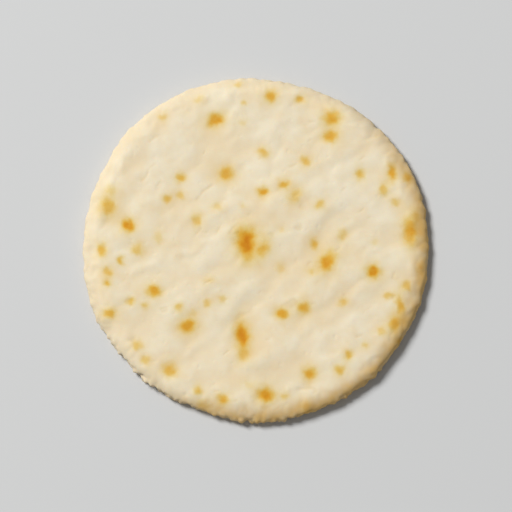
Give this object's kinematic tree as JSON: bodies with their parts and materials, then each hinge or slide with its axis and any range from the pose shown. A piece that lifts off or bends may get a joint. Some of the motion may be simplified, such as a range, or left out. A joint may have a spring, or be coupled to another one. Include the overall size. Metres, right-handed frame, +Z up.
{
  "type": "rice flatbread",
  "caption": "Round, thick, pale rice flatbread with a softly rounded rim, shallow diagonal creases and scattered golden toasted spots, lying flat.",
  "frame": {"origin": "middle of the underside, on the surface the bread lies on", "axes": "+Z up through the bread's thickness; +X and +Y lie in the underside"},
  "size_m": [0.1798, 0.1798, 0.0091],
  "materials": {
    "bread": "matte"
  },
  "bodies": {
    "root": {"rice_flatbread": "bread"}
  },
  "joints": []
}
